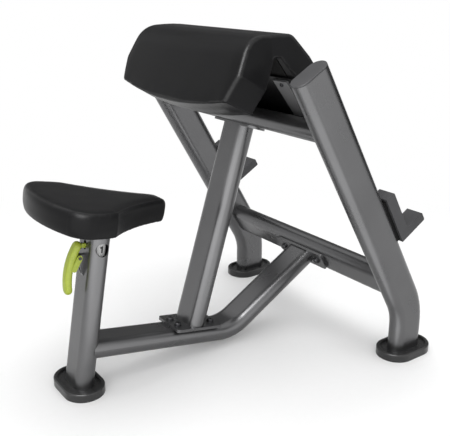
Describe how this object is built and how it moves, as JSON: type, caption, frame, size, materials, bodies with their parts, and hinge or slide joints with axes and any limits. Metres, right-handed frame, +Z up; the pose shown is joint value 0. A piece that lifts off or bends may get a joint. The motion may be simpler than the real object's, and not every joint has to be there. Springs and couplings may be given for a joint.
{
  "type": "preacher curl bench",
  "caption": "Preacher curl bench: seat on a sliding post with a squeeze lever, a sloping padded ridge for the upper arms and bar hooks on the rear legs.",
  "frame": {"origin": "on the floor under the middle of the bench's bounding box", "axes": "+X from the seat to the rear legs, +Y to the sitter's left, +Z up"},
  "size_m": [0.9816, 0.816, 0.8746],
  "materials": {
    "frame": "satin metallic grey powder coat",
    "upholstery": "semi-matte black vinyl",
    "board": "black stained plywood",
    "rubber": "matte black",
    "lever": "lime green, fine texture",
    "hook": "dark grey nylon",
    "cap": "dark grey",
    "guide": "black",
    "label": "mid grey",
    "inner_post": "satin grey",
    "fastener": "dark oxide"
  },
  "bodies": {
    "bench_frame": {"seat_foot": "rubber", "seat_post_end_plate": "frame", "left_rear_foot": "rubber", "left_leg_end_plate": "frame", "right_rear_foot": "rubber", "right_leg_end_plate": "frame", "foot_screws": "fastener", "seat_post": "frame", "base_beam": "frame", "column": "frame", "column_base_plate": "frame", "column_base_washers": "fastener", "column_base_bolts": "fastener", "column_top_plate": "frame", "column_top_screws": "fastener", "left_leg": "frame", "left_leg_cap": "cap", "right_leg": "frame", "right_leg_cap": "cap", "left_bar_hook": "hook", "left_hook_saddle": "hook", "right_bar_hook": "hook", "right_hook_saddle": "hook", "hook_screws": "fastener", "lower_crossbar": "frame", "upper_crossbar": "frame", "beam_flange_plate": "frame", "beam_flange_washers": "fastener", "beam_flange_bolts": "fastener", "arm_pad": "upholstery", "arm_pad_board": "board", "arm_pad_plate": "frame", "left_pad_strap": "frame", "right_pad_strap": "frame", "arm_pad_bolts": "fastener", "seat_post_collar": "guide", "lever_bracket": "frame", "lever_pin": "fastener", "lever_spring": "fastener"},
    "seat": {"seat_inner_post": "inner_post", "inner_post_guide": "guide", "number_strip": "label", "seat_plate": "frame", "seat_board": "board", "seat_pad": "upholstery", "seat_screws": "fastener"},
    "lever": {"seat_lever": "lever", "clamp_shoe": "guide", "arm_pin": "fastener"}
  },
  "joints": [
    {"name": "seat_slide", "type": "slide", "parent": "bench_frame", "child": "seat", "axis": [0.1771, 0, 0.9842], "range_m": [0, 0.12]},
    {"name": "lever_squeeze", "type": "hinge", "parent": "bench_frame", "child": "lever", "pos_m": [-0.39094, 0, 0.35331], "axis": [0, -1, 0], "range_deg": [0, 12], "stiffness_Nm_per_rad": 0.8, "springref_deg": -14.32}
  ]
}
